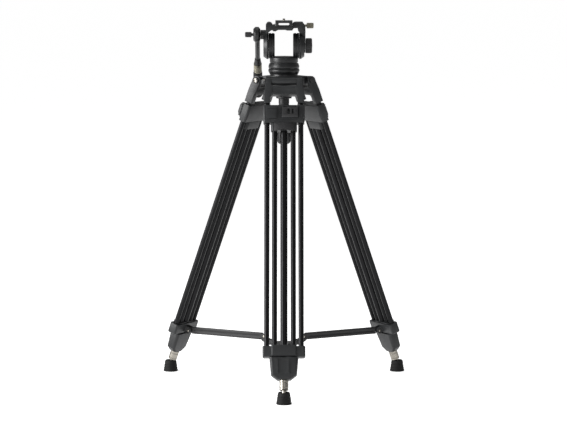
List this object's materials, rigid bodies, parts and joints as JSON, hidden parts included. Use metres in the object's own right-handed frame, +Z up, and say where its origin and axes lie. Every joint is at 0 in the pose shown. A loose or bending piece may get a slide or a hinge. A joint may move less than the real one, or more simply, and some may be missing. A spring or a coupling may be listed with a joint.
{
  "type": "tripod with fluid head",
  "caption": "Twin-tube video tripod with sliding leg sections, mid-level spreader, levelling bowl and a fluid head with a pan bar.",
  "frame": {"origin": "middle of the whole object's bounding box, on the floor; the pan axis stands 76.6 mm behind it", "axes": "+Z up along the pan axis, front leg towards -Y, pan bar clamp on -X"},
  "size_m": [0.61, 0.5456, 0.8953],
  "materials": {
    "casting": "satin black powder coat",
    "anodised_tube": "black anodised",
    "lever": "moulded black",
    "spreader": "moulded black",
    "head_metal": "fine satin black",
    "bright_metal": "turned",
    "champagne_metal": "satin anodised",
    "rubber": "moulded",
    "vial": "clear"
  },
  "bodies": {
    "crown": {"crown": "casting", "hinge_bolts": "bright_metal", "bubble_level": "vial"},
    "spreader_hub": {"spreader_hub": "spreader"},
    "clamp_washer": {"clamp_washer": "casting"},
    "level_ball": {"half_ball": "head_metal", "pan_base": "head_metal"},
    "bowl_clamp": {"bowl_clamp_handle": "lever"},
    "pan_housing": {"head_housing": "head_metal"},
    "pan_lock": {"pan_lock_knob": "lever"},
    "tilt_frame": {"tilt_frame": "head_metal", "tilt_shafts": "bright_metal"},
    "tilt_drag": {"tilt_drag_knob": "lever"},
    "plate_lock": {"plate_lock_knob": "champagne_metal"},
    "camera_plate": {"camera_plate": "head_metal"},
    "camera_screw": {"camera_screw": "bright_metal"},
    "bar": {"bar_rod": "head_metal"},
    "bar_clamp": {"bar_clamp_knob": "lever"},
    "bar_handle": {"bar_collet": "lever", "bar_grip": "rubber"},
    "bar_lock": {"bar_sleeve": "champagne_metal"},
    "front_leg": {"front_leg_yoke": "casting", "front_outer_tubes": "anodised_tube", "front_shoulder": "casting"},
    "front_middle": {"front_collar": "casting", "front_middle_tubes": "anodised_tube", "front_boot": "casting"},
    "front_lower": {"front_slider_block": "casting", "front_centre_tube": "anodised_tube", "front_foot_stud": "bright_metal"},
    "front_collar_lever": {"front_collar_lever": "lever"},
    "front_slider_lever": {"front_slider_lever": "lever"},
    "front_foot": {"front_rubber_foot": "rubber"},
    "front_arm": {"front_spreader_arm": "spreader"},
    "right_leg": {"right_leg_yoke": "casting", "right_outer_tubes": "anodised_tube", "right_shoulder": "casting"},
    "right_middle": {"right_collar": "casting", "right_middle_tubes": "anodised_tube", "right_boot": "casting"},
    "right_lower": {"right_slider_block": "casting", "right_centre_tube": "anodised_tube", "right_foot_stud": "bright_metal"},
    "right_collar_lever": {"right_collar_lever": "lever"},
    "right_slider_lever": {"right_slider_lever": "lever"},
    "right_foot": {"right_rubber_foot": "rubber"},
    "right_arm": {"right_spreader_arm": "spreader"},
    "left_leg": {"left_leg_yoke": "casting", "left_outer_tubes": "anodised_tube", "left_shoulder": "casting"},
    "left_middle": {"left_collar": "casting", "left_middle_tubes": "anodised_tube", "left_boot": "casting"},
    "left_lower": {"left_slider_block": "casting", "left_centre_tube": "anodised_tube", "left_foot_stud": "bright_metal"},
    "left_collar_lever": {"left_collar_lever": "lever"},
    "left_slider_lever": {"left_slider_lever": "lever"},
    "left_foot": {"left_rubber_foot": "rubber"},
    "left_arm": {"left_spreader_arm": "spreader"}
  },
  "joints": [
    {"name": "front_leg_fold", "type": "hinge", "parent": "crown", "child": "front_leg", "pos_m": [0, 0.02355, 0.745], "axis": [1, 0, 0], "range_deg": [0, 18]},
    {"name": "front_middle_slide", "type": "slide", "parent": "front_leg", "child": "front_middle", "axis": [0, -0.3572, -0.934], "range_m": [0, 0.45]},
    {"name": "front_lower_slide", "type": "slide", "parent": "front_middle", "child": "front_lower", "axis": [0, -0.3572, -0.934], "range_m": [0, 0.45]},
    {"name": "front_collar_lever_turn", "type": "hinge", "parent": "front_middle", "child": "front_collar_lever", "pos_m": [0, -0.01646, 0.68375], "axis": [-1, 0, 0], "range_deg": [0, 100]},
    {"name": "front_slider_lever_turn", "type": "hinge", "parent": "front_lower", "child": "front_slider_lever", "pos_m": [0, -0.0274, 0.64254], "axis": [-1, 0, 0], "range_deg": [0, 55]},
    {"name": "front_foot_tilt", "type": "hinge", "parent": "front_lower", "child": "front_foot", "pos_m": [0, -0.25444, 0.018], "axis": [1, 0, 0], "range_deg": [-35, 0]},
    {"name": "front_arm_fold", "type": "hinge", "parent": "front_leg", "child": "front_arm", "pos_m": [0, -0.19627, 0.10853], "axis": [1, 0, 0], "range_deg": [0, 68.78]},
    {"name": "right_leg_fold", "type": "hinge", "parent": "crown", "child": "right_leg", "pos_m": [0.0459, 0.10305, 0.745], "axis": [-0.5, 0.866, 0], "range_deg": [0, 18]},
    {"name": "right_middle_slide", "type": "slide", "parent": "right_leg", "child": "right_middle", "axis": [0.3093, 0.1786, -0.934], "range_m": [0, 0.45]},
    {"name": "right_lower_slide", "type": "slide", "parent": "right_middle", "child": "right_lower", "axis": [0.3093, 0.1786, -0.934], "range_m": [0, 0.45]},
    {"name": "right_collar_lever_turn", "type": "hinge", "parent": "right_middle", "child": "right_collar_lever", "pos_m": [0.08055, 0.12306, 0.68375], "axis": [0.5, -0.866, 0], "range_deg": [0, 100]},
    {"name": "right_slider_lever_turn", "type": "hinge", "parent": "right_lower", "child": "right_slider_lever", "pos_m": [0.09003, 0.12853, 0.64254], "axis": [0.5, -0.866, 0], "range_deg": [0, 55]},
    {"name": "right_foot_tilt", "type": "hinge", "parent": "right_lower", "child": "right_foot", "pos_m": [0.28665, 0.24205, 0.018], "axis": [-0.5, 0.866, 0], "range_deg": [-35, 0]},
    {"name": "right_arm_fold", "type": "hinge", "parent": "right_leg", "child": "right_arm", "pos_m": [0.23628, 0.21297, 0.10853], "axis": [-0.5, 0.866, 0], "range_deg": [0, 68.78]},
    {"name": "left_leg_fold", "type": "hinge", "parent": "crown", "child": "left_leg", "pos_m": [-0.0459, 0.10305, 0.745], "axis": [-0.5, -0.866, 0], "range_deg": [0, 18]},
    {"name": "left_middle_slide", "type": "slide", "parent": "left_leg", "child": "left_middle", "axis": [-0.3093, 0.1786, -0.934], "range_m": [0, 0.45]},
    {"name": "left_lower_slide", "type": "slide", "parent": "left_middle", "child": "left_lower", "axis": [-0.3093, 0.1786, -0.934], "range_m": [0, 0.45]},
    {"name": "left_collar_lever_turn", "type": "hinge", "parent": "left_middle", "child": "left_collar_lever", "pos_m": [-0.08055, 0.12306, 0.68375], "axis": [0.5, 0.866, 0], "range_deg": [0, 100]},
    {"name": "left_slider_lever_turn", "type": "hinge", "parent": "left_lower", "child": "left_slider_lever", "pos_m": [-0.09003, 0.12853, 0.64254], "axis": [0.5, 0.866, 0], "range_deg": [0, 55]},
    {"name": "left_foot_tilt", "type": "hinge", "parent": "left_lower", "child": "left_foot", "pos_m": [-0.28665, 0.24205, 0.018], "axis": [-0.5, -0.866, 0], "range_deg": [-35, 0]},
    {"name": "left_arm_fold", "type": "hinge", "parent": "left_leg", "child": "left_arm", "pos_m": [-0.23628, 0.21297, 0.10853], "axis": [-0.5, -0.866, 0], "range_deg": [0, 68.78]},
    {"name": "hub_rise", "type": "slide", "parent": "crown", "child": "spreader_hub", "axis": [0, 0, 1], "range_m": [0, 0.18271]},
    {"name": "level_side", "type": "hinge", "parent": "crown", "child": "clamp_washer", "pos_m": [0, 0.07655, 0.756], "axis": [1, 0, 0], "range_deg": [-6, 6]},
    {"name": "level_fore", "type": "hinge", "parent": "clamp_washer", "child": "level_ball", "pos_m": [0, 0.07655, 0.756], "axis": [0, 1, 0], "range_deg": [-6, 6]},
    {"name": "bowl_clamp_turn", "type": "hinge", "parent": "level_ball", "child": "bowl_clamp", "pos_m": [0, 0.07655, 0.64], "axis": [0, 0, 1], "continuous": true},
    {"name": "pan", "type": "hinge", "parent": "level_ball", "child": "pan_housing", "pos_m": [0, 0.07655, 0.79], "axis": [0, 0, 1], "continuous": true},
    {"name": "pan_lock_turn", "type": "hinge", "parent": "pan_housing", "child": "pan_lock", "pos_m": [0, 0.11656, 0.791], "axis": [0, 1, 0], "range_deg": [0, 180]},
    {"name": "tilt", "type": "hinge", "parent": "pan_housing", "child": "tilt_frame", "pos_m": [0, 0.07655, 0.829], "axis": [1, 0, 0], "range_deg": [-15, 80]},
    {"name": "tilt_drag_turn", "type": "hinge", "parent": "tilt_frame", "child": "tilt_drag", "pos_m": [0.06, 0.07655, 0.829], "axis": [1, 0, 0], "range_deg": [0, 270]},
    {"name": "plate_lock_turn", "type": "hinge", "parent": "tilt_frame", "child": "plate_lock", "pos_m": [0.062, 0.07655, 0.878], "axis": [1, 0, 0], "continuous": true},
    {"name": "plate_slide", "type": "slide", "parent": "tilt_frame", "child": "camera_plate", "axis": [0, 1, 0], "range_m": [-0.02, 0.02]},
    {"name": "camera_screw_turn", "type": "hinge", "parent": "camera_plate", "child": "camera_screw", "pos_m": [0, 0.07655, 0.89], "axis": [0, 0, 1], "continuous": true},
    {"name": "bar_angle", "type": "hinge", "parent": "tilt_frame", "child": "bar", "pos_m": [-0.0647, 0.07655, 0.856], "axis": [1, 0, 0], "range_deg": [0, 120]},
    {"name": "bar_clamp_turn", "type": "hinge", "parent": "bar", "child": "bar_clamp", "pos_m": [-0.08, 0.07655, 0.856], "axis": [1, 0, 0], "continuous": true},
    {"name": "bar_extend", "type": "slide", "parent": "bar", "child": "bar_handle", "axis": [0, 0.7071, -0.7071], "range_m": [0, 0.08]},
    {"name": "bar_lock_turn", "type": "hinge", "parent": "bar_handle", "child": "bar_lock", "pos_m": [-0.0647, 0.15999, 0.77256], "axis": [0, 0.7071, -0.7071], "range_deg": [0, 120]}
  ],
  "couplings": [
    {"joint": "front_arm_fold", "follows": "front_leg_fold", "ratio": 3.8205},
    {"joint": "right_arm_fold", "follows": "front_leg_fold", "ratio": 3.8205},
    {"joint": "right_leg_fold", "follows": "front_leg_fold", "ratio": 1},
    {"joint": "left_arm_fold", "follows": "front_leg_fold", "ratio": 3.8205},
    {"joint": "left_leg_fold", "follows": "front_leg_fold", "ratio": 1},
    {"joint": "hub_rise", "follows": "front_leg_fold", "m_per_rad": 0.58155}
  ]
}
